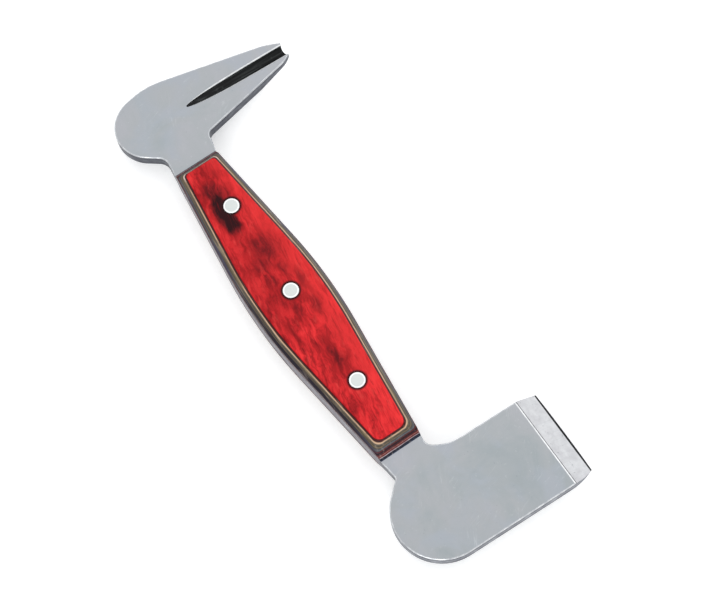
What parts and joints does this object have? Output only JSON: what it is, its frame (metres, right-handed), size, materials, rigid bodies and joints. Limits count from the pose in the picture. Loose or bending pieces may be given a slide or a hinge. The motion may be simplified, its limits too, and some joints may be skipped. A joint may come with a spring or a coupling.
{
  "type": "hoof pick",
  "caption": "Flat steel hoof pick: a grooved, tapering pick head and a wide bevelled scraper head point the same way from the ends of a handle with laminated wood scales and flush pins",
  "frame": {"origin": "on the flat outer face of the back scale, under the middle of the handle", "axes": "+X along the handle from the pick head to the scraper head, +Y towards the tips of both heads, +Z square to the plate, out of the grooved front face"},
  "size_m": [0.232, 0.0771, 0.0191],
  "materials": {
    "plate_steel": "ground and lightly brushed, softened arrises",
    "pin_metal": "sanded flush, satin",
    "wood_navy": "resin-filled dyed veneer, satin lacquer",
    "wood_mauve": "resin-filled dyed veneer, satin lacquer",
    "wood_black": "resin-filled dyed veneer, satin lacquer",
    "wood_sand": "resin-filled dyed veneer, satin lacquer",
    "wood_olive": "resin-filled dyed veneer, satin lacquer",
    "wood_tan": "resin-filled dyed veneer, satin lacquer",
    "wood_brown": "resin-filled dyed veneer, satin lacquer",
    "wood_red": "resin-filled dyed veneer, satin lacquer"
  },
  "bodies": {
    "root": {"tool_blank": "plate_steel", "front_veneer_navy": "wood_navy", "front_veneer_mauve": "wood_mauve", "front_veneer_black": "wood_black", "front_veneer_sand": "wood_sand", "front_veneer_olive": "wood_olive", "front_veneer_tan": "wood_tan", "front_veneer_brown": "wood_brown", "front_veneer_red": "wood_red", "back_veneer_navy": "wood_navy", "back_veneer_mauve": "wood_mauve", "back_veneer_black": "wood_black", "back_veneer_sand": "wood_sand", "back_veneer_olive": "wood_olive", "back_veneer_tan": "wood_tan", "back_veneer_brown": "wood_brown", "back_veneer_red": "wood_red", "pin_pick": "pin_metal", "pin_middle": "pin_metal", "pin_scraper": "pin_metal"}
  },
  "joints": []
}
